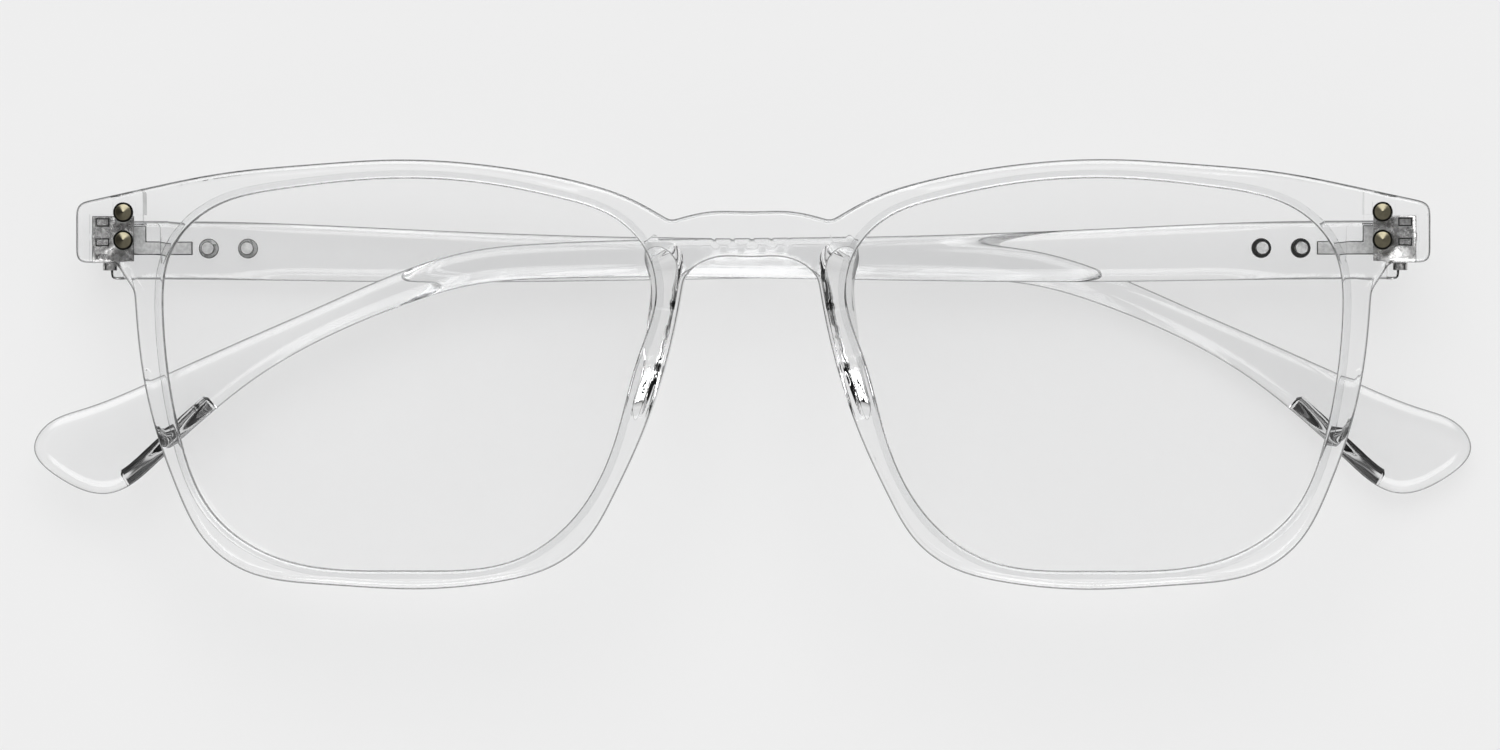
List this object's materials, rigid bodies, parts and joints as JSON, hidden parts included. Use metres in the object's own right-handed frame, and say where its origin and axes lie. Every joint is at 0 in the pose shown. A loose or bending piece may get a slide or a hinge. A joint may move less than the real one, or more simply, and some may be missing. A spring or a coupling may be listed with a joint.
{
  "type": "square eyeglasses",
  "caption": "Square eyeglasses with a clear plastic front, clear lenses and folding temples on barrel hinges, lying folded on a flat temple.",
  "frame": {"origin": "on the table, under the middle of the folded glasses", "axes": "+X across the front to the wearer's left, +Y up the front, +Z out of the front and away from the table"},
  "size_m": [0.1504, 0.0446, 0.0175],
  "materials": {
    "clear_frame": "polished clear plastic",
    "lens": "polished clear",
    "hinge_metal": "bright",
    "dark_rivet": "turned, dark gunmetal"
  },
  "bodies": {
    "right_temple": {"right_temple": "clear_frame", "right_temple_hinge_leaf": "hinge_metal", "right_temple_rivet_front": "hinge_metal", "right_temple_rivet_rear": "hinge_metal"},
    "front": {"front_frame": "clear_frame", "right_lens": "lens", "left_lens": "lens", "right_nose_pad": "clear_frame", "left_nose_pad": "clear_frame", "right_front_hinge_leaf": "hinge_metal", "left_front_hinge_leaf": "hinge_metal", "right_hinge_screw": "hinge_metal", "left_hinge_screw": "hinge_metal", "right_front_rivet_upper": "dark_rivet", "right_front_rivet_lower": "dark_rivet", "left_front_rivet_upper": "dark_rivet", "left_front_rivet_lower": "dark_rivet"},
    "left_temple": {"left_temple": "clear_frame", "left_temple_hinge_leaf": "hinge_metal", "left_temple_rivet_front": "hinge_metal", "left_temple_rivet_rear": "hinge_metal"}
  },
  "joints": [
    {"name": "right_temple_fold", "type": "hinge", "parent": "right_temple", "child": "front", "pos_m": [-0.06742, 0.01415, 0.00285], "axis": [0, -1, 0], "range_deg": [0, 88]},
    {"name": "left_temple_fold", "type": "hinge", "parent": "front", "child": "left_temple", "pos_m": [0.06742, 0.01415, 0.00655], "axis": [0, -1, 0], "range_deg": [0, 91.2]}
  ]
}
